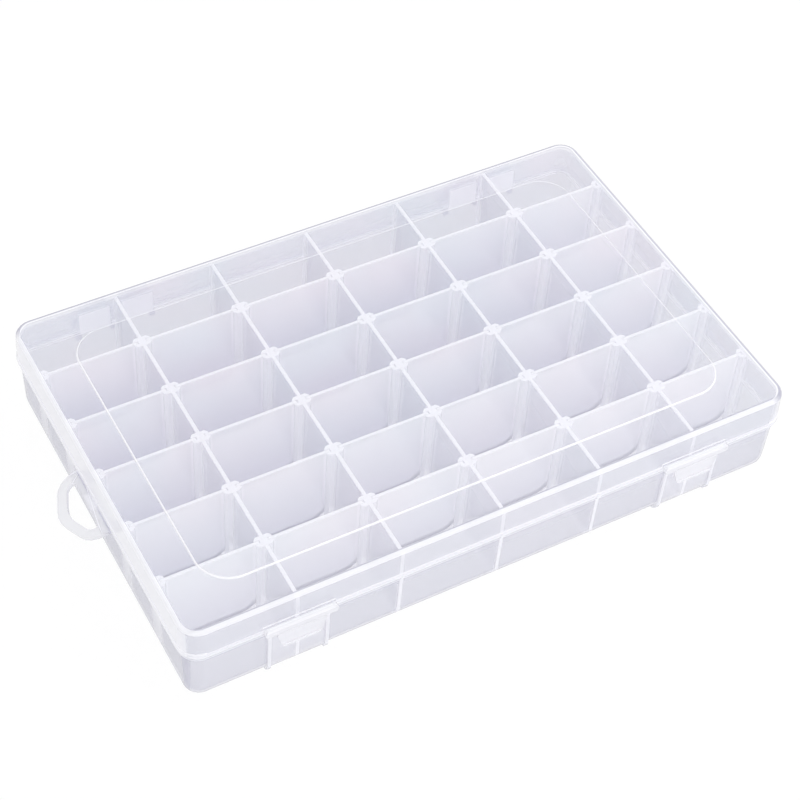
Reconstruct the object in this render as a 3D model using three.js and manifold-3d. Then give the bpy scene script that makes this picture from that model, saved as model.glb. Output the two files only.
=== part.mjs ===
// A clear compartment box with its lid closed: a tray with fixed partitions, loose dividers in
// slotted posts, a lid clipped on two back hinges, two front latches and a hanging loop.
// Millimetres, +Z up, X along the long side, Y to the hinges, origin under the middle of the tray.
import * as THREE from "three";
import { mergeVertices } from "three/addons/utils/BufferGeometryUtils.js";
import Module from "manifold-3d";

const wasm = await Module();
wasm.setup();

// The grid of compartments
const columns = 6;
const rows = 6;
const compartmentLength = 43;
const compartmentWidth = 27.2;
const compartmentDepth = 40.7;
const partitionThickness = 1.5;
const dividerThickness = 1.2;

// Tray
const floorThickness = 1.4;
const wallThickness = 0.9;
const wallDraft = 0.4;
const lipThickness = 0.9;
const lipHeight = 12.8;
const lipDrop = 0.8;
const flangeReach = 0.9;
const flangeThickness = 1.2;
const cornerRadius = 6;
const smallestCorner = 0.6;
const baseFillet = 5.5;
const floorFillet = 4;

// Slotted posts that hold the dividers
const postReach = 2.95;
const postWidth = 5;
const postChamfer = 1.1;
const slotFloor = 0.9;
const slotClearance = 0.2;
const dividerEndGap = 0.35;
const dividerFloorGap = 0.3;
const dividerLowerRadius = 8;
const dividerUpperRadius = 0.8;

// Lid
const lidTopGap = 0.6;
const lidThickness = 1.4;
const lidWallThickness = 0.8;
const lidClearance = 0.3;
const lidDraft = 0.45;
const lidEdgeFillet = 1.8;
const lidInnerFillet = 0.8;
const rimHeight = 3;
const rimReach = 0.4;
const rimChamfer = 0.4;
const panelInset = 18.7;
const panelRise = 0.7;
const panelRadius = 14;
const panelChamfer = 0.4;

// Back hinges: ears and a pin on the tray, two clips on the lid
const hingeSpan = 36;
const earThickness = 2.4;
const middleEarThickness = 5;
const earRadius = 2.5;
const earTipDrop = 4.5;
const earTipWidth = 2;
const pinRadius = 1.3;
const pinRise = 1.5;
const pinClearance = 0.3;
const clipWall = 1;
const clipMouth = 2;
const clipTopDrop = 2;
const clipTopReach = 0.6;
const sideClearance = 0.4;

// Front latches on a thin web at the lid's rim
const latchBarLength = 30.5;
const latchBarHeight = 4.2;
const latchBarThickness = 2.4;
const latchBarRound = 1;
const latchEndRound = 2;
const flapHeight = 8.3;
const flapTopWidth = 21.5;
const flapBottomWidth = 16;
const flapThickness = 1.5;
const flapCornerRadius = 1.6;
const flapLipHeight = 1.1;
const flapLipReach = 0.5;
const beadHeight = 1.4;
const beadReach = 0.8;
const catchLength = 17;
const catchHeight = 2.6;
const catchEdge = 0.8;
const guardThickness = 1.4;
const guardReach = 1.6;
const guardGap = 0.8;
const padReach = 0.7;

// Hanging loop on the left wall
const loopHalfLength = 17.9;
const loopShoulderHalfLength = 14.8;
const loopShoulderReach = 10;
const loopReach = 16.3;
const loopRoot = 1;
const loopBand = 4;
const loopThickness = 2;
const loopDrop = 1.5;
const loopRounding = 4.5;
const loopTiltDegrees = 20;

// Gaps and overruns
const seatGap = 0.3;
const partingGap = 0.3;
const overrun = 2;
const embed = 0.4;

// Steps in a quarter round
const cornerSteps = 6;
const filletSteps = 4;
const edgeSteps = 3;
const roundSteps = 20;

// Sizes worked out from those above
const pitchX = compartmentLength + partitionThickness;
const pitchY = compartmentWidth + dividerThickness;
const innerHalfX = (columns * pitchX - partitionThickness) / 2;
const innerHalfY = (rows * pitchY - dividerThickness) / 2;
const partitionTop = floorThickness + compartmentDepth;
const lipTop = partitionTop - lipDrop;
const flangeTop = lipTop - lipHeight;
const flangeBottom = flangeTop - flangeThickness;
const wallTopOffset = wallThickness + wallDraft;
const flangeOffset = wallTopOffset + flangeReach;
const slotWidth = dividerThickness + 2 * slotClearance;
const skirtInnerOffset = lipThickness + lidClearance;
const skirtOuterOffset = skirtInnerOffset + lidWallThickness;
const skirtMiddleOffset = skirtInnerOffset + (lidWallThickness + lidDraft) / 2;
const rimOffset = skirtOuterOffset + lidDraft + rimReach;
const rimBottom = flangeTop + seatGap;
const lidUnderside = partitionTop + lidTopGap;
const lidTop = lidUnderside + lidThickness;
const clipRadius = pinRadius + pinClearance + clipWall;
const pinY = innerHalfY + rimOffset + seatGap + earRadius;
const pinZ = flangeTop + pinRise;
const latchTop = rimBottom + latchBarHeight;
const latchInnerY = innerHalfY + rimOffset + seatGap;
const flapBottom = rimBottom - flapHeight;
const beadTip = latchInnerY + latchBarThickness - flapThickness - beadReach;

// Lines between columns and between rows, and the lines that carry the hinges and the latches
const partitionLines = [];
for (let i = 1; i < columns; i += 1) {
  partitionLines.push((i - columns / 2) * pitchX);
}
const dividerLines = [];
for (let j = 1; j < rows; j += 1) {
  dividerLines.push((rows / 2 - j) * pitchY);
}
const fittingLines = [partitionLines[0], partitionLines[partitionLines.length - 1]];

// Solids and geometries

function solidOf(geometry) {
  const bare = geometry.index ? geometry.toNonIndexed() : geometry.clone();
  bare.deleteAttribute("normal");
  bare.deleteAttribute("uv");
  const merged = mergeVertices(bare);
  const vertProperties = new Float32Array(merged.attributes.position.array);
  const triVerts = new Uint32Array(merged.index.array);
  return new wasm.Manifold(new wasm.Mesh({ numProp: 3, vertProperties, triVerts }));
}

function geometryOf(solid) {
  const made = solid.getMesh();
  const geometry = new THREE.BufferGeometry();
  geometry.setAttribute("position", new THREE.BufferAttribute(made.vertProperties, 3));
  geometry.setIndex(new THREE.BufferAttribute(made.triVerts, 1));
  const faceted = geometry.toNonIndexed();
  faceted.computeVertexNormals();
  return faceted;
}

function joined(solids) {
  return solids.reduce((sum, next) => sum.add(next));
}

// A flat outline pushed along one axis. Its own x and y become the two axes named.
function pushed(shape, length, xAxis, yAxis, start) {
  const geometry = new THREE.ExtrudeGeometry(shape, {
    depth: length,
    bevelEnabled: false,
    curveSegments: roundSteps,
  });
  const depthAxis = new THREE.Vector3().crossVectors(xAxis, yAxis);
  const turned = new THREE.Matrix4().makeBasis(xAxis, yAxis, depthAxis);
  turned.setPosition(start);
  return solidOf(geometry.applyMatrix4(turned));
}

const axisX = new THREE.Vector3(1, 0, 0);
const axisY = new THREE.Vector3(0, 1, 0);
const axisZ = new THREE.Vector3(0, 0, 1);

// An outline in Y and Z, pushed to both sides of a middle X
function alongX(shape, middle, length) {
  return pushed(shape, length, axisY, axisZ, new THREE.Vector3(middle - length / 2, 0, 0));
}

// An outline in X and Z, pushed towards the front from a back Y
function alongY(shape, back, length) {
  return pushed(shape, length, axisX, axisZ, new THREE.Vector3(0, back, 0));
}

// An outline in X and Y, pushed up from a low Z
function alongZ(shape, low, length) {
  return pushed(shape, length, axisX, axisY, new THREE.Vector3(0, 0, low));
}

function polygon(points) {
  return new THREE.Shape(points.map(([x, y]) => new THREE.Vector2(x, y)));
}

function rectangle(x0, y0, x1, y1) {
  return polygon([[x0, y0], [x1, y0], [x1, y1], [x0, y1]]);
}

function roundBarAlongX(radius, middle, length, y, z) {
  const circle = new THREE.Shape();
  circle.absarc(y, z, radius, 0, 2 * Math.PI, false);
  return alongX(circle, middle, length);
}

// A closed outline whose corners are rounded by curves that start a given length before each corner
function roundedPolygon(points, rounding) {
  const corners = points.map(([x, y]) => new THREE.Vector2(x, y));
  const count = corners.length;
  const shape = new THREE.Shape();
  corners.forEach((corner, k) => {
    const before = corners[(k + count - 1) % count];
    const after = corners[(k + 1) % count];
    const toBefore = before.clone().sub(corner);
    const toAfter = after.clone().sub(corner);
    const reach = Math.min(rounding, toBefore.length() / 2, toAfter.length() / 2);
    const start = corner.clone().add(toBefore.setLength(reach));
    const end = corner.clone().add(toAfter.setLength(reach));
    if (k === 0) {
      shape.moveTo(start.x, start.y);
    } else {
      shape.lineTo(start.x, start.y);
    }
    for (let step = 1; step <= edgeSteps; step += 1) {
      const t = step / edgeSteps;
      const toCorner = start.clone().lerp(corner, t);
      const point = toCorner.lerp(corner.clone().lerp(end, t), t);
      shape.lineTo(point.x, point.y);
    }
  });
  return shape;
}

// The same convex outline, counter-clockwise, with each side moved in by a distance
function insetPolygon(points, distance) {
  const corners = points.map(([x, y]) => new THREE.Vector2(x, y));
  const count = corners.length;
  const sides = corners.map((corner, k) => {
    const along = corners[(k + 1) % count].clone().sub(corner).normalize();
    const inward = new THREE.Vector2(-along.y, along.x);
    return { start: corner.clone().addScaledVector(inward, distance), along };
  });
  return sides.map((side, k) => {
    const last = sides[(k + count - 1) % count];
    const gap = side.start.clone().sub(last.start);
    const t = gap.cross(side.along) / last.along.cross(side.along);
    const corner = last.start.clone().addScaledVector(last.along, t);
    return [corner.x, corner.y];
  });
}

// Levels of a body with a rounded rectangle for its plan, joined from the lowest up
function stackOf(levels) {
  const positions = [];
  const ringSize = 4 * (cornerSteps + 1);
  levels.forEach(({ halfX, halfY, radius, z }) => {
    for (let k = 0; k < 4; k += 1) {
      const signX = k === 0 || k === 3 ? 1 : -1;
      const signY = k < 2 ? 1 : -1;
      for (let step = 0; step <= cornerSteps; step += 1) {
        const angle = (k + step / cornerSteps) * (Math.PI / 2);
        positions.push(signX * (halfX - radius) + radius * Math.cos(angle));
        positions.push(signY * (halfY - radius) + radius * Math.sin(angle), z);
      }
    }
  });
  positions.push(0, 0, levels[0].z);
  positions.push(0, 0, levels[levels.length - 1].z);
  const lowMiddle = levels.length * ringSize;
  const highMiddle = lowMiddle + 1;
  const topRing = (levels.length - 1) * ringSize;
  const faces = [];
  for (let k = 0; k < ringSize; k += 1) {
    const next = (k + 1) % ringSize;
    faces.push(lowMiddle, next, k);
    faces.push(highMiddle, topRing + k, topRing + next);
    for (let level = 0; level < levels.length - 1; level += 1) {
      const low = level * ringSize;
      const high = low + ringSize;
      faces.push(low + k, low + next, high + next);
      faces.push(low + k, high + next, high + k);
    }
  }
  const geometry = new THREE.BufferGeometry();
  geometry.setAttribute("position", new THREE.Float32BufferAttribute(positions, 3));
  geometry.setIndex(faces);
  return solidOf(geometry);
}

// A level that follows the inside of the tray's walls, moved out by an offset
function level(offset, z) {
  return {
    halfX: innerHalfX + offset,
    halfY: innerHalfY + offset,
    radius: Math.max(cornerRadius + offset, smallestCorner),
    z,
  };
}

// Levels of a quarter round that starts flat at z and turns up to the offset
function roundedFoot(offset, z, radius) {
  const levels = [];
  for (let step = 0; step <= filletSteps; step += 1) {
    const angle = (step / filletSteps) * (Math.PI / 2);
    const inward = radius * (1 - Math.sin(angle));
    levels.push(level(offset - inward, z + radius * (1 - Math.cos(angle))));
  }
  return levels;
}

// Levels of a quarter round that leaves the offset and ends flat at z
function roundedShoulder(offset, z, radius, steps) {
  const levels = [];
  for (let step = 0; step <= steps; step += 1) {
    const angle = (step / steps) * (Math.PI / 2);
    const inward = radius * (1 - Math.cos(angle));
    levels.push(level(offset - inward, z - radius * (1 - Math.sin(angle))));
  }
  return levels;
}

// Tray

function trayOutside(top) {
  return stackOf([
    ...roundedFoot(wallThickness, 0, baseFillet),
    level(wallTopOffset, flangeBottom - flangeReach),
    level(flangeOffset, flangeBottom),
    level(flangeOffset, flangeTop),
    level(lipThickness, flangeTop),
    level(lipThickness, top),
  ]);
}

function trayHollow() {
  return stackOf([
    ...roundedFoot(0, floorThickness, floorFillet),
    level(0, partitionTop + overrun),
  ]);
}

// Half a slotted post, seen from above: two ribs that reach out from a face, with a slot between
function halfPost() {
  const side = postWidth / 2;
  const slot = slotWidth / 2;
  const shoulder = Math.max(side - postChamfer, slot);
  return [
    [-embed, -side],
    [postReach - postChamfer, -side],
    [postReach, -shoulder],
    [postReach, -slot],
    [slotFloor, -slot],
    [slotFloor, slot],
    [postReach, slot],
    [postReach, shoulder],
    [postReach - postChamfer, side],
    [-embed, side],
  ];
}

// Slotted half posts that stand on one face, from a low z up to the partition tops
function halfPosts(face, sign, low) {
  return dividerLines.map((y) => {
    const across = halfPost().map(([out, along]) => [face + sign * out, y + sign * along]);
    return alongZ(polygon(across), low, partitionTop - low);
  });
}

function trayWallPosts() {
  const low = floorThickness - embed;
  const posts = joined([
    ...halfPosts(-innerHalfX, 1, low),
    ...halfPosts(innerHalfX, -1, low),
  ]);
  return posts.intersect(trayOutside(partitionTop));
}

// One partition with its posts, seated on the floor and between the front and back walls
function partitionSolid(x) {
  const half = partitionThickness / 2;
  const plate = rectangle(x - half, -innerHalfY, x + half, innerHalfY);
  const room = stackOf([
    ...roundedFoot(-seatGap, floorThickness + seatGap, floorFillet),
    level(-seatGap, partitionTop),
  ]);
  return joined([
    alongZ(plate, 0, partitionTop),
    ...halfPosts(x + half, 1, 0),
    ...halfPosts(x - half, -1, 0),
  ]).intersect(room);
}

// One ear of a hinge: a gusset under the flange, rounded about the pin, with a tip that hangs below
function hingeEar() {
  const wall = innerHalfY + wallTopOffset - embed;
  const startAngle = Math.PI + Math.asin(Math.min(pinRise / earRadius, 1));
  const ear = new THREE.Shape();
  ear.moveTo(wall, flangeTop);
  ear.absarc(pinY, pinZ, earRadius, startAngle, -Math.PI / 4, true);
  ear.lineTo(pinY + earTipWidth / 2, flangeTop - earTipDrop);
  ear.lineTo(pinY - earTipWidth / 2, flangeTop - earTipDrop);
  ear.lineTo(wall, flangeTop - earTipDrop - (pinY - wall) / 2);
  return ear;
}

function trayHinge(x) {
  const ear = hingeEar();
  const endX = (hingeSpan - earThickness) / 2;
  return joined([
    alongX(ear, x - endX, earThickness),
    alongX(ear, x, middleEarThickness),
    alongX(ear, x + endX, earThickness),
    roundBarAlongX(pinRadius, x, hingeSpan - earThickness, pinY, pinZ),
  ]);
}

// A band of the front wall that stands proud of it and follows its rounded foot
function raisedBand(reach, x, length) {
  const proud = stackOf([
    ...roundedFoot(wallThickness + reach, 0, baseFillet),
    level(wallTopOffset + reach, flangeBottom),
  ]);
  const front = rectangle(-(innerHalfY + wallTopOffset + reach), 0, -(innerHalfY - baseFillet), flangeBottom);
  return proud.intersect(alongX(front, x, length)).subtract(trayHollow());
}

// Catch, pad and guard ribs that stand on the front wall under a latch
function trayCatch(x) {
  const root = -(innerHalfY + wallThickness - embed);
  const catchTip = -(beadTip - seatGap);
  const catchBottom = flapBottom + beadHeight + seatGap;
  const catchFace = polygon([
    [root, catchBottom],
    [catchTip, catchBottom],
    [catchTip, catchBottom + catchEdge],
    [root, catchBottom + catchHeight],
  ]);
  const guardX = (flapTopWidth + guardThickness) / 2 + guardGap;
  return joined([
    alongX(catchFace, x, catchLength),
    raisedBand(padReach, x, 2 * guardX),
    raisedBand(guardReach, x - guardX, guardThickness),
    raisedBand(guardReach, x + guardX, guardThickness),
  ]);
}

// The loop lies in a plane that drops away from the wall. Its outline is drawn along and out. It is
// moulded on the real wall, and here a thin gap parts it from that, for the sake of its collision.
function loopSolid() {
  const outline = [
    [-loopHalfLength, -loopRoot],
    [loopHalfLength, -loopRoot],
    [loopShoulderHalfLength, loopShoulderReach],
    [0, loopReach],
    [-loopShoulderHalfLength, loopShoulderReach],
  ];
  const plate = roundedPolygon(outline, loopRounding);
  plate.holes.push(roundedPolygon(insetPolygon(outline, loopBand), loopRounding));
  const tilt = THREE.MathUtils.degToRad(loopTiltDegrees);
  const outward = new THREE.Vector3(-Math.cos(tilt), 0, -Math.sin(tilt));
  const face = new THREE.Vector3().crossVectors(axisY, outward);
  const start = new THREE.Vector3(-(innerHalfX + flangeOffset), 0, flangeTop - loopDrop);
  start.addScaledVector(face, -loopThickness / 2);
  const loop = pushed(plate, loopThickness, axisY, outward, start);
  const room = innerHalfX + flangeOffset + loopReach;
  const above = rectangle(-room, -loopHalfLength, 0, loopHalfLength);
  const rootX = -(innerHalfX + flangeOffset + partingGap);
  const inside = rectangle(rootX, -loopHalfLength, 0, loopHalfLength);
  return loop
    .subtract(alongZ(above, flangeTop, loopReach))
    .subtract(alongZ(inside, 0, lidTop));
}

function traySolid() {
  const shell = trayOutside(lipTop).subtract(trayHollow());
  return joined([
    shell,
    trayWallPosts(),
    ...fittingLines.map(trayHinge),
    ...fittingLines.map(trayCatch),
  ]);
}

// Divider

// A plate with its ends in the slots, deeply rounded at its lower corners
function dividerSolid() {
  const half = compartmentLength / 2 - slotFloor - dividerEndGap;
  const height = compartmentDepth - dividerFloorGap;
  const low = Math.min(dividerLowerRadius, half);
  const high = dividerUpperRadius;
  const shape = new THREE.Shape();
  const corner = (x, z, radius, start) => {
    for (let step = 0; step <= cornerSteps; step += 1) {
      const angle = start + (step / cornerSteps) * (Math.PI / 2);
      const px = x + radius * Math.cos(angle);
      const pz = z + radius * Math.sin(angle);
      if (shape.curves.length === 0 && shape.currentPoint.length() === 0) {
        shape.moveTo(px, pz);
      } else {
        shape.lineTo(px, pz);
      }
    }
  };
  corner(-half + low, low, low, Math.PI);
  corner(half - low, low, low, 1.5 * Math.PI);
  corner(half - high, height - high, high, 0);
  corner(-half + high, height - high, high, Math.PI / 2);
  return alongY(shape, dividerThickness / 2, dividerThickness);
}

// Lid

function lidOutside() {
  return stackOf([
    level(rimOffset - rimChamfer, rimBottom),
    level(rimOffset, rimBottom + rimChamfer),
    level(rimOffset, rimBottom + rimHeight - rimChamfer),
    level(skirtOuterOffset + lidDraft, rimBottom + rimHeight),
    ...roundedShoulder(skirtOuterOffset, lidTop, lidEdgeFillet, filletSteps),
  ]);
}

function lidHollow() {
  return stackOf([
    level(skirtInnerOffset + lidDraft, rimBottom - overrun),
    ...roundedShoulder(skirtInnerOffset, lidUnderside, lidInnerFillet, edgeSteps),
  ]);
}

// A level of the raised panel, drawn in from the lid's outside
function panelLevel(inset, z) {
  return {
    halfX: innerHalfX + skirtOuterOffset - inset,
    halfY: innerHalfY + skirtOuterOffset - inset,
    radius: Math.max(panelRadius + panelInset - inset, smallestCorner),
    z,
  };
}

function panelBody(inset, bottom, top) {
  return stackOf([
    panelLevel(inset, bottom),
    panelLevel(inset, top - panelChamfer),
    panelLevel(inset + panelChamfer, top),
  ]);
}

// Two clips of one hinge. Each has a block on the skirt and a hook that snaps over the pin.
function lidHinge(x) {
  const skirt = innerHalfY + skirtMiddleOffset;
  const top = lidTop - clipTopDrop;
  const underside = rimBottom + seatGap;
  const startAngle = Math.PI + Math.asin(Math.min((pinZ - underside) / clipRadius, 1));
  const clip = new THREE.Shape();
  clip.moveTo(skirt, top);
  clip.lineTo(skirt, underside);
  clip.absarc(pinY, pinZ, clipRadius, startAngle, 2 * Math.PI, false);
  clip.lineTo(innerHalfY + skirtOuterOffset + clipTopReach, top);
  const clipStart = middleEarThickness / 2 + sideClearance;
  const clipEnd = hingeSpan / 2 - earThickness - sideClearance;
  const length = clipEnd - clipStart;
  const offset = (clipStart + clipEnd) / 2;
  const mouth = clipMouth / 2;
  const slot = rectangle(pinY - mouth, pinZ - clipRadius - overrun, pinY + mouth, pinZ);
  const cut = roundBarAlongX(pinRadius + pinClearance, x, hingeSpan, pinY, pinZ)
    .add(alongX(slot, x, hingeSpan));
  return joined([
    alongX(clip, x - offset, length),
    alongX(clip, x + offset, length),
  ]).subtract(cut);
}

// The land on the rim that a latch folds from
function lidLatchLand(x) {
  const skirt = -(innerHalfY + skirtMiddleOffset);
  const front = -(innerHalfY + rimOffset);
  const land = polygon([
    [skirt, rimBottom + rimHeight / 2],
    [front, rimBottom + rimHeight / 2],
    [front, latchTop],
    [skirt, latchTop + rimChamfer],
  ]);
  return alongX(land, x, latchBarLength);
}

function lidSolid() {
  const body = joined([
    lidOutside(),
    panelBody(panelInset, lidUnderside + lidThickness / 2, lidTop + panelRise),
  ]);
  const recess = panelBody(panelInset + lidThickness, lidUnderside - overrun, lidUnderside + panelRise);
  const shell = body.subtract(lidHollow()).subtract(recess);
  return joined([shell, ...fittingLines.map(lidHinge), ...fittingLines.map(lidLatchLand)]);
}

// The real lid is one moulding. Here thin gaps part its plate from its four skirts, each a node of
// its own, so that collision can follow the lid closely from inside too.
function lidPieces() {
  const moulding = lidSolid();
  const halfX = innerHalfX + rimOffset + overrun;
  const halfY = pinY + clipRadius + overrun;
  const cornerStart = innerHalfY - cornerRadius;
  const endSkirtEnd = cornerStart - partingGap;
  const skirtTop = lidUnderside - partingGap;
  const piece = (zone, low, high) => moulding.intersect(alongZ(zone, low, high - low));
  const skirt = (zone) => piece(zone, 0, skirtTop);
  return {
    lid: piece(rectangle(-halfX, -halfY, halfX, halfY), lidUnderside, lidTop + overrun),
    lid_skirt_front: skirt(rectangle(-halfX, -halfY, halfX, -cornerStart)),
    lid_skirt_back: skirt(rectangle(-halfX, cornerStart, halfX, halfY)),
    lid_skirt_left: skirt(rectangle(-halfX, -endSkirtEnd, 0, endSkirtEnd)),
    lid_skirt_right: skirt(rectangle(0, -endSkirtEnd, halfX, endSkirtEnd)),
  };
}

// Latch

// A bar that folds at the rim, a flap with a lip under it and a bead inside that passes the catch
function latchSolid() {
  const inner = -latchInnerY;
  const outer = inner - latchBarThickness;
  const barEnd = latchBarLength / 2;
  const section = roundedPolygon(
    [[inner, rimBottom], [inner, latchTop], [outer, latchTop], [outer, rimBottom]],
    latchBarRound,
  );
  const face = roundedPolygon(
    [[-barEnd, rimBottom], [barEnd, rimBottom], [barEnd, latchTop], [-barEnd, latchTop]],
    latchEndRound,
  );
  const bar = alongX(section, 0, latchBarLength).intersect(alongY(face, inner, latchBarThickness));
  const flap = roundedPolygon(
    [
      [-flapBottomWidth / 2, flapBottom],
      [flapBottomWidth / 2, flapBottom],
      [flapTopWidth / 2, rimBottom + embed],
      [-flapTopWidth / 2, rimBottom + embed],
    ],
    flapCornerRadius,
  );
  const beadRoot = outer + flapThickness;
  const lipZone = rectangle(outer - flapLipReach, flapBottom, beadRoot, flapBottom + flapLipHeight);
  const lip = alongY(flap, beadRoot, flapThickness + flapLipReach)
    .intersect(alongX(lipZone, 0, flapBottomWidth + flapTopWidth));
  const bead = polygon([
    [beadRoot - embed, flapBottom + embed],
    [beadRoot + beadReach, flapBottom + beadHeight / 2],
    [beadRoot + beadReach, flapBottom + beadHeight],
    [beadRoot - embed, flapBottom + beadHeight + beadReach],
  ]);
  return joined([
    bar,
    alongY(flap, beadRoot, flapThickness),
    lip,
    alongX(bead, 0, flapBottomWidth - 2 * flapCornerRadius),
  ]);
}

// Materials and assembly

function clearPlastic(color, roughness, opacity) {
  return new THREE.MeshStandardMaterial({
    color,
    roughness,
    metalness: 0,
    transparent: true,
    opacity,
    side: THREE.DoubleSide,
  });
}

function part(name, geometry, material) {
  const mesh = new THREE.Mesh(geometry, material);
  mesh.name = name;
  return mesh;
}

const shellPlastic = clearPlastic(0xe9eaf4, 0.22, 0.4);
const lidPlastic = clearPlastic(0xf1f2f9, 0.18, 0.3);
const dividerPlastic = clearPlastic(0xe4e4f2, 0.3, 0.5);

const box = new THREE.Group();
box.add(part("tray", geometryOf(traySolid()), shellPlastic));
box.add(part("hanging_loop", geometryOf(loopSolid()), shellPlastic));
partitionLines.forEach((x, k) => {
  box.add(part(`partition_${k + 1}`, geometryOf(partitionSolid(x)), shellPlastic));
});
Object.entries(lidPieces()).forEach(([name, solid]) => {
  box.add(part(name, geometryOf(solid), lidPlastic));
});

const latchGeometry = geometryOf(latchSolid());
const latchNames = ["latch_left", "latch_right"];
fittingLines.forEach((x, k) => {
  const latch = part(latchNames[k], latchGeometry, lidPlastic);
  latch.position.set(x, 0, 0);
  box.add(latch);
});

const dividers = new THREE.Group();
dividers.position.set(0, 0, floorThickness + dividerFloorGap);
const dividerGeometry = geometryOf(dividerSolid());
dividerLines.forEach((y, j) => {
  for (let i = 0; i < columns; i += 1) {
    const divider = part(`divider_row${j + 1}_col${i + 1}`, dividerGeometry, dividerPlastic);
    divider.position.set((i - (columns - 1) / 2) * pitchX, y, 0);
    dividers.add(divider);
  }
});
box.add(dividers);

export default box;
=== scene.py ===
import math

import bpy
import bmesh
from mathutils import Matrix, Vector


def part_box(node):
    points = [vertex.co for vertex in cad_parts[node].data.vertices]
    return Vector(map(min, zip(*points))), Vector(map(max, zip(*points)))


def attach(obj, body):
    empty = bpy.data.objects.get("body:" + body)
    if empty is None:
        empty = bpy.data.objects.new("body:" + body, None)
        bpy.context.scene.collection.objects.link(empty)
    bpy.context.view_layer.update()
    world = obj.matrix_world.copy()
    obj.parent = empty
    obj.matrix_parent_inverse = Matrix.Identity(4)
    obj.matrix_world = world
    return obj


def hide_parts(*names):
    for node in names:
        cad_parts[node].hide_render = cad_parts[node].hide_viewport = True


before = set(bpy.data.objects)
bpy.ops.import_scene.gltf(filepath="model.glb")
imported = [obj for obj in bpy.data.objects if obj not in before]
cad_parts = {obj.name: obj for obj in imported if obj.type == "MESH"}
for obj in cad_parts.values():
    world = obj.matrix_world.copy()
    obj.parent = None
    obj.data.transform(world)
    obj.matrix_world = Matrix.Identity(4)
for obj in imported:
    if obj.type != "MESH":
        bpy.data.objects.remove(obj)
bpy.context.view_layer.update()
mm = 0.001

# Levels, lines and pitches of the box, read from the frame. Counts of pitches start at the middle.
layoutFacts = {
    "hingePitches": 2,  # to each hinge
    "outerPitches": 2.5,  # to the middle of the outer compartments
    "hingeOut": 0.4 * mm,  # from the back of the lid's plate to where the hinges are drawn
    "loopOut": 0.5 * mm,  # from the tray's end to where the loop is drawn
}
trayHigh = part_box("tray")[1]
lidLow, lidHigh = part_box("lid")
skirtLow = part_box("lid_skirt_front")[0].z
dividerLow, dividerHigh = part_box("divider_row1_col1")
partitionLow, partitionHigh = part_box("partition_1")
gridTop = dividerHigh.z  # the partitions and the dividers all end at this level
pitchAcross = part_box("divider_row1_col2")[0].x - dividerLow.x
pitchAlong = dividerLow.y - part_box("divider_row2_col1")[0].y
outerAcross = layoutFacts["outerPitches"] * pitchAcross
outerAlong = layoutFacts["outerPitches"] * pitchAlong
hingeLine = layoutFacts["hingePitches"] * pitchAcross
hingeFront = lidHigh.y + layoutFacts["hingeOut"]
loopRoot = -(trayHigh.x + layoutFacts["loopOut"])


def clearSelection():
    if bpy.context.object and bpy.context.object.mode != "OBJECT":
        bpy.ops.object.mode_set(mode="OBJECT")
    bpy.ops.object.select_all(action="DESELECT")


def chooseOnly(piece):
    clearSelection()
    piece.select_set(True)
    bpy.context.view_layer.objects.active = piece


# Camera, at the place from which the photograph was taken
cameraFacts = {
    "azimuth": -31.95,  # degrees
    "elevation": 48.7,
    "roll": 4.57,
    "across": 0.44 * mm,
    "up": -14.84 * mm,
    "distance": 814.6 * mm,
    "focalLength": 1990.8,  # pixels
    "imageSide": 800,
    "sensor": 36,  # millimetres
    "nearest": 0.01,  # metres, the first and last distance that the camera sees
    "farthest": 50,
}


def placeCamera(facts, target):
    azimuth = math.radians(facts["azimuth"])
    elevation = math.radians(facts["elevation"])
    roll = math.radians(facts["roll"])
    back = Vector((math.sin(azimuth) * math.cos(elevation),
                   -math.cos(azimuth) * math.cos(elevation),
                   math.sin(elevation)))
    level = Vector((math.cos(azimuth), math.sin(azimuth), 0))
    upright = back.cross(level)
    right = math.cos(roll) * level + math.sin(roll) * upright
    up = back.cross(right)
    place = target + facts["across"] * right + facts["up"] * up + facts["distance"] * back
    lens = bpy.data.cameras.new("camera")
    lens.sensor_width = facts["sensor"]
    lens.lens = facts["focalLength"] / facts["imageSide"] * facts["sensor"]
    lens.clip_start = facts["nearest"]
    lens.clip_end = facts["farthest"]
    camera = bpy.data.objects.new("camera", lens)
    bpy.context.scene.collection.objects.link(camera)
    turned = Matrix((right, up, back)).transposed().to_4x4()
    camera.matrix_world = Matrix.Translation(place) @ turned
    bpy.context.scene.camera = camera
    print("camera placed")


placeCamera(cameraFacts, Vector((0, 0, gridTop)))


class Wire:  # a shader socket that takes part in plain sums
    def __init__(self, sheet, socket):
        self.sheet = sheet
        self.socket = socket

    def __add__(self, other):
        return self.sheet.maths("ADD", self, other)

    def __radd__(self, other):
        return self.sheet.maths("ADD", other, self)

    def __sub__(self, other):
        return self.sheet.maths("SUBTRACT", self, other)

    def __rsub__(self, other):
        return self.sheet.maths("SUBTRACT", other, self)

    def __mul__(self, other):
        return self.sheet.maths("MULTIPLY", self, other)

    def __truediv__(self, other):
        return self.sheet.maths("DIVIDE", self, other)

    def __pow__(self, other):
        return self.sheet.maths("POWER", self, other)

    def __abs__(self):
        return self.sheet.maths("ABSOLUTE", self)

    def clamped(self):
        return self.sheet.maths("ADD", self, 0, clamp=True)

    def above(self, other):
        return self.sheet.maths("MAXIMUM", self, other)

    def rounded(self):
        return self.sheet.maths("ROUND", self)

    def between(self, start, end):  # 0 at start, 1 at end, and held there
        made = self.sheet.node("MapRange", {"clamp": True},
                               at0=self, at1=start, at2=end, at3=0.0, at4=1.0)
        return self.sheet.wire(made)


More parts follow.
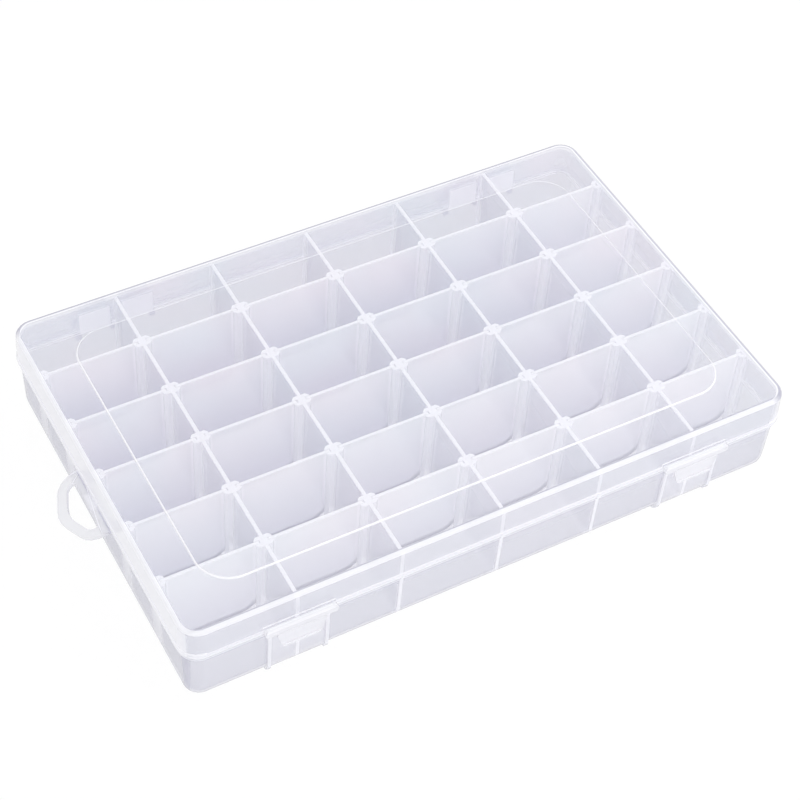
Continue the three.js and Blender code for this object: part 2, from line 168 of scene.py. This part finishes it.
class Sheet:  # the node tree of one material
    def __init__(self, name):
        self.material = bpy.data.materials.new(name)
        self.material.use_nodes = True
        self.tree = self.material.node_tree
        self.tree.nodes.clear()

    # An input goes by the name of its socket, with _ for a space, or by at and its number
    def node(self, kind, settings=None, **inputs):
        made = self.tree.nodes.new("ShaderNode" + kind)
        for name, value in (settings or {}).items():
            setattr(made, name, value)
        for name, value in inputs.items():
            place = int(name[2:]) if name.startswith("at") else name.replace("_", " ")
            self.feed(made.inputs[place], value)
        return made

    def feed(self, socket, value):
        if isinstance(value, Wire):
            self.tree.links.new(value.socket, socket)
        elif isinstance(value, bpy.types.NodeSocket):
            self.tree.links.new(value, socket)
        else:
            socket.default_value = value

    def wire(self, made, output=0):
        return Wire(self, made.outputs[output])

    def maths(self, operation, first, second=None, clamp=False):
        inputs = {"at0": first} if second is None else {"at0": first, "at1": second}
        made = self.node("Math", {"operation": operation, "use_clamp": clamp}, **inputs)
        return self.wire(made)

    def blend(self, share, first, second):  # colours are sockets 6, 7 and 2 of a Mix node
        made = self.node("Mix", {"data_type": "RGBA"}, at0=share, at6=first, at7=second)
        return self.wire(made, 2)

    def place(self):
        coordinates = self.node("TexCoord")
        split = self.node("SeparateXYZ", at0=coordinates.outputs["Object"])
        return [self.wire(split, axis) for axis in "XYZ"], coordinates.outputs["Object"]

    def noise(self, point, scale, detail=1.0):
        return self.wire(self.node("TexNoise", Vector=point, Scale=scale, Detail=detail))

    def finish(self, shader):
        out = self.node("OutputMaterial")
        self.tree.links.new(shader, out.inputs["Surface"])
        return self.material


def colour(red, green, blue):
    return (red, green, blue, 1)


# Clear plastic: a thin milky body, whiter where it is thick, with painted highlights along edges
# that pipe the light and painted shade low down and in dark lines.
# Each function below gives the share of one detail, from 0 to 1, at a place on the box.


def within(value, half, soft):  # 1 up to half, then falling to 0 over the soft border
    return value.between(half + soft, half)


def fromNearest(value, pitch):  # how far from the nearest line of the grid
    return abs(value - (value / pitch).rounded() * pitch)


hingeFacts = {
    "half": 17.9 * mm,
    "share": 0.85,
    "clipSpan": (3 * mm, 16.5 * mm),  # from the middle of the hinge
    "clipLevels": (27 * mm, 38 * mm),
    "clipShare": 0.9,
}


# Whiter hinges and clips: partly the thick plastic's own milkiness, partly painted light
def inHinge(x, y, z, facts, soft):
    fromHinge = abs(abs(x) - hingeLine)
    whole = within(fromHinge, facts["half"], soft) * y.between(hingeFront, hingeFront + soft)
    low, high = facts["clipSpan"]
    bottom, top = facts["clipLevels"]
    clips = fromHinge.between(low - soft, low) * within(fromHinge, high, soft)
    clips = clips * z.between(bottom - soft, bottom) * within(z, top, soft)
    clips = clips * y.between(partitionHigh.y - soft, partitionHigh.y)
    return whole.above(clips * facts["clipShare"]) * facts["share"]


wallFacts = {
    "ribStart": 2.5 * mm,  # out from the partitions' ends
    "ribSoftness": 0.2 * mm,
    "ribShare": 0.6,
    "padHalf": 13 * mm,
    "padStart": 1.7 * mm,
    "padShare": 0.35,
    "flangeDrop": 0.9 * mm,  # from the skirt down to the middle of the flange
    "flangeHalf": 0.6 * mm,
    "flangeLine": 0.2 * mm,
    "flangeSoftness": 0.16 * mm,
    "flangeShare": 0.75,
    "endWalls": (3.2 * mm, 2.8 * mm),  # in from the loop's root
}


def onWalls(x, y, z, facts, soft):  # painted highlights on ribs and latch pads, and where the flange joins the walls
    ribStart = partitionHigh.y + facts["ribStart"]
    ribs = abs(y).between(ribStart, ribStart + facts["ribSoftness"])
    padStart = -partitionHigh.y - facts["padStart"]
    pads = within(abs(abs(x) - hingeLine), facts["padHalf"], soft)
    pads = pads * y.between(padStart, padStart - soft) * within(z, skirtLow, soft)
    edges = abs(abs(z - skirtLow + facts["flangeDrop"]) - facts["flangeHalf"])
    edges = within(edges, facts["flangeLine"], facts["flangeSoftness"])
    start, full = facts["endWalls"]
    walls = abs(y).between(partitionHigh.y - soft, partitionHigh.y)
    walls = walls.above(abs(x).between(-loopRoot - start, -loopRoot - full))
    white = (ribs * facts["ribShare"]).above(pads * facts["padShare"])
    white = white.above(edges * walls * facts["flangeShare"])
    return white * x.between(loopRoot, loopRoot + soft)


gridFacts = {
    "topHighlight": (0.5 * mm, 0.1 * mm),  # below the grid's top, where its painted highlight starts and is full
    "postHalfAcross": 3.4 * mm,
    "postHalfAlong": 3.2 * mm,
    "postSoftness": 1.8 * mm,
    "postFade": -0.6,  # heights of the grid, the level at which the white of a post is gone
    "endHalf": 0.6 * mm,  # half the width of the white lines where the partitions end
    "endShare": 0.75,
    "footHalf": 1.2 * mm,  # the same along the floor, up to its level
    "floorLevel": 2.2 * mm,
}


# Painted light on the posts, full at the top and fading downwards
def inPosts(x, y, z, facts):
    soft = facts["postSoftness"]
    across = within(fromNearest(x, pitchAcross), facts["postHalfAcross"], soft)
    along = within(fromNearest(y, pitchAlong), facts["postHalfAlong"], soft)
    inside = within(abs(y), outerAlong, soft)
    return across * along * inside * z.between(facts["postFade"] * gridTop, gridTop)


# Painted highlights where the partitions meet the walls and the floor
def atPartitionEnds(x, y, z, facts, soft):
    fromPartition = fromNearest(x, pitchAcross)
    onWall = abs(y).between(partitionHigh.y - 2 * soft, partitionHigh.y - soft)
    upright = within(fromPartition, facts["endHalf"], soft) * onWall
    foot = within(fromPartition, facts["footHalf"], soft) * within(z, facts["floorLevel"], soft)
    return upright.above(foot) * within(abs(x), outerAcross, soft) * facts["endShare"]


def fromEdge(x, y, halfX, halfY, corner):  # how far inside a rounded rectangle
    pastX = (abs(x) - (halfX - corner)).above(0)
    pastY = (abs(y) - (halfY - corner)).above(0)
    return corner - (pastX * pastX + pastY * pastY) ** 0.5


# The lid's painted highlights and painted shade lines
lidLineFacts = {
    "reach": 1.9 * mm,  # down from the lid's top
    "corner": 8 * mm,
    "crispness": 0.12 * mm,  # of the borders of lines and bands
    "lineWidth": 0.4 * mm,
    "shadeLineColour": colour(0.38, 0.38, 0.48),
    "shadeLineShare": 0.9,
    "outlineWidth": 1.6 * mm,
    "bandWidth": 1.5 * mm,
    "bandShare": 0.62,
    "farBand": 0.9 * mm,  # how much wider the band is on the far sides
    "leftLineShare": 0.3,
    "leftSpan": (2 * mm, 1 * mm),
    "leftShare": 0.5,
    "beadHeight": 0.8 * mm,
    "beadShare": 0.5,
    "panelMiddle": (-0.7 * mm, -0.6 * mm),
    "panelHalfX": lidHigh.x - 18.2 * mm,
    "panelHalfY": lidHigh.y - 17.3 * mm,
    "panelCorner": 14 * mm,
    "panelLine": 0.26 * mm,
    "panelReach": 1.2 * mm,
    "panelShare": 0.9,
}


def aroundLid(x, y, z, facts, soft):  # painted highlights along its edges, bead, panel line and left skirt, and painted shade in the dark lines beside them
    corner = facts["corner"]
    crisp = facts["crispness"]
    topReach = lidHigh.z - facts["reach"]
    panelReach = lidHigh.z - facts["panelReach"]
    nearTop = z.between(topReach - soft, topReach)
    far = x.between(lidHigh.x - corner, lidHigh.x - corner / 2)
    far = far.above(y.between(lidHigh.y - corner, lidHigh.y - corner / 2))

    inward = fromEdge(x, y, lidHigh.x, lidHigh.y, corner)
    outline = within(inward, facts["outlineWidth"], crisp) * far
    pastBand = inward - far * facts["farBand"] - facts["bandWidth"]
    offBand = pastBand.between(0, crisp)
    nearLine = offBand * within(pastBand, facts["lineWidth"], crisp) * (1 - far)
    nearLine = nearLine * x.between(-lidHigh.x, corner - lidHigh.x).above(facts["leftLineShare"])

    middleX, middleY = facts["panelMiddle"]
    panel = abs(fromEdge(x - middleX, y - middleY, facts["panelHalfX"], facts["panelHalfY"],
                         facts["panelCorner"]))
    panel = within(panel, facts["panelLine"], crisp) * z.between(panelReach - soft, panelReach)
    bead = within(z, skirtLow + facts["beadHeight"], soft)
    start, full = facts["leftSpan"]
    left = x.between(start - lidHigh.x, full - lidHigh.x)
    white = ((1 - offBand) * facts["bandShare"]).above(panel * facts["panelShare"]) * nearTop
    white = white.above(bead * facts["beadShare"]).above(left * facts["leftShare"])
    return white, outline.above(nearLine) * nearTop * facts["shadeLineShare"]


footShadeFacts = {
    "height": 9 * mm,
    "level": (0.2, 0.5),  # how far a face looks up or down, in the rounded foot
    "colour": colour(0.10, 0.10, 0.16),
}


def inShadedFoot(sheet, z, facts, soft):  # the rounded foot of a divider, painted dark as the shade in its gap above the floor
    normal = sheet.node("NewGeometry").outputs["Normal"]
    level = abs(sheet.wire(sheet.node("SeparateXYZ", Vector=normal), "Z"))
    return within(z, facts["height"], soft) * level.between(*facts["level"])


# Painted highlights on the grid's tops, narrow faces, posts, partition ends and walls, and the
# whiter hinges
def highlightsOf(sheet, x, y, z, facts, soft):
    start, full = gridFacts["topHighlight"]
    onTop = z.between(gridTop - start, gridTop - full)
    edges = sheet.wire(sheet.node("Attribute", {"attribute_name": "edge"}), "Fac")
    white = (onTop * facts["top"]).above(edges * facts["lines"])
    white = white.above(inHinge(x, y, z, hingeFacts, soft))
    if facts["posts"]:
        white = white.above(inPosts(x, y, z, gridFacts) * facts["posts"])
    if facts["part"] == "tray":
        white = white.above(atPartitionEnds(x, y, z, gridFacts, soft))
        white = white.above(onWalls(x, y, z, wallFacts, soft))
    return white


plasticFacts = {
    "softness": 0.4 * mm,  # of the borders of all that is drawn
    "facingPower": 3,  # how late the body gets denser towards a grazing look
    "clouds": 28,  # per metre
    "cloudRange": (0.35, 0.65),
    "nearRows": (0.5, -3.5),  # pitches, over which the nearer compartments get painted light
    "nearShare": 0.65,
    "rightColumns": (1.5, 3.5),  # the same towards the right
    "rightShare": 0.3,
    "fullWhite": 0.6,  # the share of white from which the tint is all white
    "ripple": 70,  # per metre
    "rippleHeight": 0.02 * mm,
    "index": 1.49,
    "gloss": 0.8,
    "glossRoughness": 0.5,  # of the body's roughness
    "relief": 0.85,  # the share of scattered light that passes on through the milky body
}


# Cloudy tone of the plastic, with painted shade towards the floor and painted light over the nearer
# rows and the right-hand columns
def shadedTintOf(sheet, x, y, z, point, facts, shared):
    clouds = sheet.noise(point, shared["clouds"]).between(*shared["cloudRange"])
    tint = sheet.blend(clouds, facts["cool"], facts["warm"])
    tint = sheet.blend(z.between(gridTop, 0), tint, facts["lowShade"])
    near = [count * pitchAlong for count in shared["nearRows"]]
    right = [count * pitchAcross for count in shared["rightColumns"]]
    paintedLight = y.between(*near) * shared["nearShare"]
    paintedLight = paintedLight.above(x.between(*right) * shared["rightShare"])
    return sheet.blend(paintedLight, tint, facts["light"])


# Painted shade on the tray's left end wall below the lid and on its back wall
endShadeFacts = {
    "wall": (4 * mm, 3 * mm),  # in from the loop's root
    "wallShadeColour": colour(0.42, 0.42, 0.53),
    "wallShadeShare": 0.62,
    "loopColour": colour(0.74, 0.74, 0.79),
    "loopShare": 0.45,
    "backRows": (2.7, 2.9),  # pitches, to the back wall, which gets painted shade
    "backShadeShare": 0.9,
}


def withShadedEnds(sheet, x, y, z, tint, body, lowShade, facts, soft):  # painted shade on the left end wall and on the back wall, and the loop's own lighter tone
    start, full = [count * pitchAlong for count in facts["backRows"]]
    back = y.between(start, full) * within(z, skirtLow, 2 * soft)
    tint = sheet.blend(back * facts["backShadeShare"], tint, lowShade)
    start, full = facts["wall"]
    wall = x.between(loopRoot + start, loopRoot + full) * x.between(loopRoot - soft, loopRoot)
    wall = wall * z.between(skirtLow + soft, skirtLow - soft) * facts["wallShadeShare"]
    loop = x.between(loopRoot, loopRoot - soft)
    tint = sheet.blend(wall, tint, facts["wallShadeColour"])
    tint = sheet.blend(loop, tint, facts["loopColour"])
    return tint, body.above(wall).above(loop * facts["loopShare"])


def clearPlastic(facts, shared):
    sheet = Sheet(facts["part"] + "Plastic")
    (x, y, z), point = sheet.place()
    soft = shared["softness"]
    white = highlightsOf(sheet, x, y, z, facts, soft)
    tint = shadedTintOf(sheet, x, y, z, point, facts, shared)
    facing = sheet.wire(sheet.node("LayerWeight"), "Facing")
    body = facts["body"] + facing ** shared["facingPower"] * facts["grazing"]
    if facts["part"] == "tray":
        tint, body = withShadedEnds(sheet, x, y, z, tint, body, facts["lowShade"], endShadeFacts, soft)
    if facts["part"] == "lid":
        lidHighlights, shadeLines = aroundLid(x, y, z, lidLineFacts, soft)
        white = white.above(lidHighlights)
    # painted highlights whiten the tint
    tint = sheet.blend(white.between(0, shared["fullWhite"]), tint, facts["white"])
    cover = white
    # the lid's dark edge lines are painted shade
    if facts["part"] == "lid":
        tint = sheet.blend(shadeLines, tint, lidLineFacts["shadeLineColour"])
        cover = white.above(shadeLines)
    # painted shade along the dividers' feet
    if facts["part"] == "divider":
        foot = inShadedFoot(sheet, z, footShadeFacts, soft)
        tint = sheet.blend(foot, tint, footShadeFacts["colour"])
        cover = white.above(foot)

    path = sheet.node("LightPath")
    scattered = sheet.wire(path, "Is Shadow Ray").above(sheet.wire(path, "Is Diffuse Ray"))
    alpha = (body + cover * (1 - body)).clamped() * (1 - scattered * shared["relief"])
    ripple = sheet.node("Bump", Distance=shared["rippleHeight"],
                        Height=sheet.noise(point, shared["ripple"])).outputs["Normal"]
    skin = sheet.node("BsdfPrincipled", Base_Color=tint, Roughness=facts["roughness"],
                      IOR=shared["index"], Alpha=alpha, Normal=ripple)
    shine = sheet.node("BsdfGlossy", Roughness=facts["roughness"] * shared["glossRoughness"],
                       Normal=ripple)
    fresnel = sheet.wire(sheet.node("Fresnel", IOR=shared["index"]))
    outside = 1 - sheet.wire(sheet.node("NewGeometry"), "Backfacing")
    mixed = sheet.node("MixShader", at0=fresnel * outside * shared["gloss"] * (1 - scattered),
                       at1=skin.outputs[0], at2=shine.outputs[0])
    return sheet.finish(mixed.outputs[0])


# Cool and warm are the colours of the clouds, then comes the colour of the painted shade towards the
# floor, and light is the painted light of the nearer rows. Body is how much of what is behind is
# covered, and grazing how much more of it where the plastic is seen edge on. Top, lines and posts
# say how strong their painted highlights are; white is their colour.
trayFacts = {
    "part": "tray",
    "cool": colour(0.63, 0.66, 0.75),
    "warm": colour(0.67, 0.65, 0.75),
    "lowShade": colour(0.50, 0.50, 0.61),
    "light": colour(0.69, 0.69, 0.76),
    "white": colour(0.84, 0.84, 0.90),
    "body": 0.34,
    "grazing": 0.35,
    "top": 0.85,
    "lines": 0.6,
    "posts": 0.55,
    "roughness": 0.24,
}
dividerFacts = {
    "part": "divider",
    "cool": colour(0.87, 0.89, 0.94),
    "warm": colour(0.91, 0.88, 0.93),
    "lowShade": colour(0.49, 0.48, 0.63),
    "light": colour(0.87, 0.87, 0.91),
    "white": colour(0.86, 0.86, 0.91),
    "body": 0.52,
    "grazing": 0.2,
    "top": 0.6,
    "lines": 0.35,
    "posts": 0.35,
    "roughness": 0.3,
}
lidFacts = {
    "part": "lid",
    "cool": colour(0.72, 0.75, 0.83),
    "warm": colour(0.77, 0.74, 0.83),
    "lowShade": colour(0.66, 0.67, 0.77),
    "light": colour(0.78, 0.79, 0.86),
    "white": colour(0.90, 0.90, 0.94),
    "body": 0.12,
    "grazing": 0.45,
    "top": 0,
    "lines": 0.8,
    "posts": 0,
    "roughness": 0.12,
}
latchFacts = {
    "part": "latch",
    "cool": colour(0.80, 0.81, 0.86),
    "warm": colour(0.82, 0.81, 0.86),
    "lowShade": colour(0.76, 0.76, 0.83),
    "light": colour(0.82, 0.82, 0.87),
    "white": colour(0.86, 0.86, 0.90),
    "body": 0.5,
    "grazing": 0.4,
    "top": 0,
    "lines": 0.55,
    "posts": 0,
    "roughness": 0.18,
}
plastics = {facts["part"]: clearPlastic(facts, plasticFacts)
            for facts in (trayFacts, dividerFacts, lidFacts, latchFacts)}

# Mouldings: each piece keeps its shape, gets soft edges and knows which of its faces are narrow
softenFacts = {
    "merge": 0.002 * mm,
    "flat": math.radians(0.5),
    "sharp": math.radians(35),
    "width": 0.18 * mm,
    "segments": 2,
    "smooth": math.radians(32),
}
narrowFacts = {
    "bend": math.radians(8),  # at most of the edges of a face that counts as narrow
    "fan": 6 * mm,  # the way round a thin triangle that counts as part of a wide face
    "narrow": 0.35 * mm,  # the width of a face that is marked in full
    "wide": 0.9 * mm,  # and of one that isn't marked
}


def mergePoints(piece, distance):
    chooseOnly(piece)
    bpy.ops.object.mode_set(mode="EDIT")
    bpy.ops.mesh.select_all(action="SELECT")
    bpy.ops.mesh.remove_doubles(threshold=distance)
    bpy.ops.object.mode_set(mode="OBJECT")


def mergedCopy(node, name):
    piece = bpy.data.objects.new(name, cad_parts[node].data.copy())
    bpy.context.scene.collection.objects.link(piece)
    mergePoints(piece, softenFacts["merge"])
    return piece


def moveWhere(piece, chosen, shift):
    chooseOnly(piece)
    bpy.ops.object.mode_set(mode="EDIT")
    bpy.ops.mesh.select_mode(type="VERT")
    bpy.ops.mesh.select_all(action="DESELECT")
    bpy.ops.object.mode_set(mode="OBJECT")
    for vertex in piece.data.vertices:
        vertex.select = chosen(vertex.co)
    bpy.ops.object.mode_set(mode="EDIT")
    bpy.ops.transform.translate(value=shift)
    bpy.ops.object.mode_set(mode="OBJECT")


def uniteWith(piece, other):
    chooseOnly(piece)
    joint = piece.modifiers.new("unite", "BOOLEAN")
    joint.operation = "UNION"
    joint.solver = "EXACT"
    joint.object = other
    bpy.ops.object.modifier_apply(modifier="unite")
    bpy.data.objects.remove(other)


# Narrow faces are marked for the material's painted edge highlights
def markNarrowFaces(piece, facts):
    net = bmesh.new()
    net.from_mesh(piece.data)
    marks = piece.data.attributes.new("edge", "FLOAT", "FACE")
    for face, mark in zip(net.faces, marks.data):
        around = sum(edge.calc_length() for edge in face.edges)
        bent = sum(edge.calc_length() for edge in face.edges
                   if edge.calc_face_angle(0) > facts["bend"])
        width = 2 * face.calc_area() / around
        fan = len(face.edges) == 3 and around > facts["fan"]
        narrow = (facts["wide"] - width) / (facts["wide"] - facts["narrow"])
        mark.value = min(max(narrow, 0), 1) if bent > around / 2 and not fan else 0
    net.free()


def soften(piece, facts):
    mergePoints(piece, facts["merge"])
    bpy.ops.object.mode_set(mode="EDIT")
    bpy.ops.mesh.select_all(action="SELECT")
    bpy.ops.mesh.dissolve_limited(angle_limit=facts["flat"])
    bpy.ops.object.mode_set(mode="OBJECT")
    bevel = piece.modifiers.new("edges", "BEVEL")
    bevel.width = facts["width"]
    bevel.segments = facts["segments"]
    bevel.limit_method = "ANGLE"
    bevel.angle_limit = facts["sharp"]
    bpy.ops.object.modifier_apply(modifier="edges")
    bpy.ops.object.shade_smooth_by_angle(angle=facts["smooth"])
    even = piece.modifiers.new("even", "WEIGHTED_NORMAL")
    even.keep_sharp = True
    bpy.ops.object.modifier_apply(modifier="even")
    markNarrowFaces(piece, narrowFacts)


def dressed(piece, body, plastic, slot, *nodes):
    piece.data.materials.clear()
    piece.data.materials.append(plastics[plastic])
    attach(piece, body)
    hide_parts(*nodes)


# The tray, with its partitions and its loop grown onto the floor and the walls as one moulding
trayPieceFacts = {
    "grow": 0.55 * mm,  # past the gap that the frame leaves round a partition
    "foot": 4.5 * mm,  # height of the partition's rounded foot
    "rootDepth": 0.225 * mm,  # of the loop's end that grows
    "loopGrow": 1.4 * mm,  # from the loop's root into the wall
}


def makeTray(facts):
    tray = mergedCopy("tray", "tray_moulding")
    partitions = [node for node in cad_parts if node.startswith("partition")]
    lowest = partitionLow.z + facts["foot"]
    outermost = partitionHigh.y - facts["foot"]
    for node in partitions:
        partition = mergedCopy(node, node + "_joined")
        moveWhere(partition, lambda place: place.z < lowest, (0, 0, -facts["grow"]))
        moveWhere(partition, lambda place: place.y > outermost, (0, facts["grow"], 0))
        moveWhere(partition, lambda place: place.y < -outermost, (0, -facts["grow"], 0))
        uniteWith(tray, partition)
    loop = mergedCopy("hanging_loop", "loop_joined")
    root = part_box("hanging_loop")[1].x - facts["rootDepth"]
    moveWhere(loop, lambda place: place.x > root, (facts["loopGrow"], 0, 0))
    uniteWith(tray, loop)
    soften(tray, softenFacts)
    dressed(tray, "tray", "tray", "tray_plastic", "tray", "hanging_loop", *partitions)
    print("tray made,", len(tray.data.polygons), "faces")


# The lid, with its skirts grown onto its plate as one moulding, and its panel's lines moved
lidPieceFacts = {
    "near": 0.01 * mm,
    "overlap": 0.03 * mm,  # of the grown skirts with the plate and with each other
    "panelHalfX": 119 * mm,
    "panelHalfY": 71 * mm,
    "panelCorner": 16 * mm,
    "panelLeft": 1.4 * mm,
    "panelFront": 2.2 * mm,
    "panelBack": 1.0 * mm,
    "fan": 4 * mm,  # the longest edge of a face that stays marked in the panel's corners
    "underside": 0.8 * mm,  # down from the lid's top, where no mark stays under the panel
}


def inPanel(place, facts):
    return abs(place.x) < facts["panelHalfX"] and abs(place.y) < facts["panelHalfY"]


def clearMarks(lid, facts):  # from the thin faces that fan out over the flat parts
    points = lid.data.vertices
    cornerX = facts["panelHalfX"] - facts["panelCorner"]
    cornerY = facts["panelHalfY"] - facts["panelCorner"]
    for face, mark in zip(lid.data.polygons, lid.data.attributes["edge"].data):
        place = face.center
        longest = max((points[first].co - points[last].co).length for first, last in face.edge_keys)
        inCorner = abs(place.x) > cornerX and abs(place.y) > cornerY
        below = inPanel(place, facts) and place.z < lidHigh.z - facts["underside"]
        if inCorner and longest > facts["fan"] or below:
            mark.value = 0


def makeLid(facts):
    skirts = [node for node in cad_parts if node.startswith("lid_skirt")]
    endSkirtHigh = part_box("lid_skirt_left")[1]
    reach = lidLow.z - endSkirtHigh.z + facts["overlap"]
    near = facts["near"]
    lid = mergedCopy("lid", "lid_moulding")
    for node in skirts:
        skirt = mergedCopy(node, node + "_grown")
        moveWhere(skirt, lambda place: abs(place.z - endSkirtHigh.z) < near, (0, 0, reach))
        if node in ("lid_skirt_left", "lid_skirt_right"):
            moveWhere(skirt, lambda place: abs(place.y - endSkirtHigh.y) < near, (0, reach, 0))
            moveWhere(skirt, lambda place: abs(place.y + endSkirtHigh.y) < near, (0, -reach, 0))
        uniteWith(lid, skirt)
    left, front, back = facts["panelLeft"], facts["panelFront"], facts["panelBack"]
    moveWhere(lid, lambda place: inPanel(place, facts) and place.x < 0, (-left, 0, 0))
    moveWhere(lid, lambda place: inPanel(place, facts) and place.y < 0, (0, -front, 0))
    moveWhere(lid, lambda place: inPanel(place, facts) and place.y > 0, (0, back, 0))
    soften(lid, softenFacts)
    clearMarks(lid, facts)
    dressed(lid, "lid", "lid", "lid_plastic", "lid", *skirts)
    print("lid made,", len(lid.data.polygons), "faces")


def makeLatches():
    for node in ("latch_left", "latch_right"):
        latch = mergedCopy(node, node + "_moulding")
        soften(latch, softenFacts)
        dressed(latch, node, "latch", "lid_plastic", node)
    print("latches made")


# The dividers, a little longer than in the frame so that their ends fill the slots
dividerPieceFacts = {
    "slotFill": 0.25 * mm,  # of the gap at each end
}


def makeDividers(facts):
    fill = facts["slotFill"]
    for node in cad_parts:
        if node.startswith("divider"):
            divider = mergedCopy(node, node + "_moulding")
            low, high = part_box(node)
            moveWhere(divider, lambda place: place.x > high.x - fill, (fill, 0, 0))
            moveWhere(divider, lambda place: place.x < low.x + fill, (-fill, 0, 0))
            soften(divider, softenFacts)
            dressed(divider, "dividers", "divider", "divider_plastic", node)
    print("dividers made")


makeTray(trayPieceFacts)
makeLid(lidPieceFacts)
makeLatches()
makeDividers(dividerPieceFacts)

# Floor, world and lamp
stageFacts = {
    "floorSize": 6,  # metres
    "floorLevel": -0.2 * mm,
    "floorColour": colour(0.94, 0.94, 0.95),
    "whiteShare": 0.9,  # how much of the floor that is seen is plain white
    "lampPower": 4.5,
    "lampSize": 0.9,
    "lampPlace": (0.7, -0.5, 1.0),
    "bounces": 12,
    "clearBounces": 96,  # through the many clear walls one behind the other
}


def seenDirectly(sheet):  # by the camera, in a shine or through a clear wall
    path = sheet.node("LightPath")
    seen = sheet.wire(path, "Is Camera Ray").above(sheet.wire(path, "Is Glossy Ray"))
    return seen.above(sheet.wire(path, "Is Transmission Ray"))


def makeFloor(facts):
    clearSelection()
    bpy.ops.mesh.primitive_plane_add(size=facts["floorSize"], location=(0, 0, facts["floorLevel"]))
    floor = bpy.context.object
    floor.name = "floor"
    sheet = Sheet("floorWhite")
    dull = sheet.node("BsdfDiffuse", Color=facts["floorColour"])
    white = sheet.node("Emission", Color=colour(1, 1, 1), Strength=1)
    mixed = sheet.node("MixShader", at0=seenDirectly(sheet) * facts["whiteShare"],
                       at1=dull.outputs[0], at2=white.outputs[0])
    floor.data.materials.append(sheet.finish(mixed.outputs[0]))


def makeLight(facts):
    world = bpy.data.worlds.new("studio")
    bpy.context.scene.world = world
    world.use_nodes = True
    backdrop = world.node_tree.nodes["Background"]
    backdrop.inputs["Color"].default_value = colour(1, 1, 1)
    backdrop.inputs["Strength"].default_value = 1
    lamp = bpy.data.lights.new("softbox", "AREA")
    lamp.energy = facts["lampPower"]
    lamp.size = facts["lampSize"]
    softbox = bpy.data.objects.new("softbox", lamp)
    softbox.location = facts["lampPlace"]
    softbox.rotation_euler = softbox.location.to_track_quat("Z", "Y").to_euler()
    softbox.visible_glossy = False
    bpy.context.scene.collection.objects.link(softbox)
    scene = bpy.context.scene
    scene.view_settings.view_transform = "Standard"
    scene.cycles.transparent_max_bounces = facts["clearBounces"]
    scene.cycles.max_bounces = facts["bounces"]


makeFloor(stageFacts)
makeLight(stageFacts)
print("stage set")
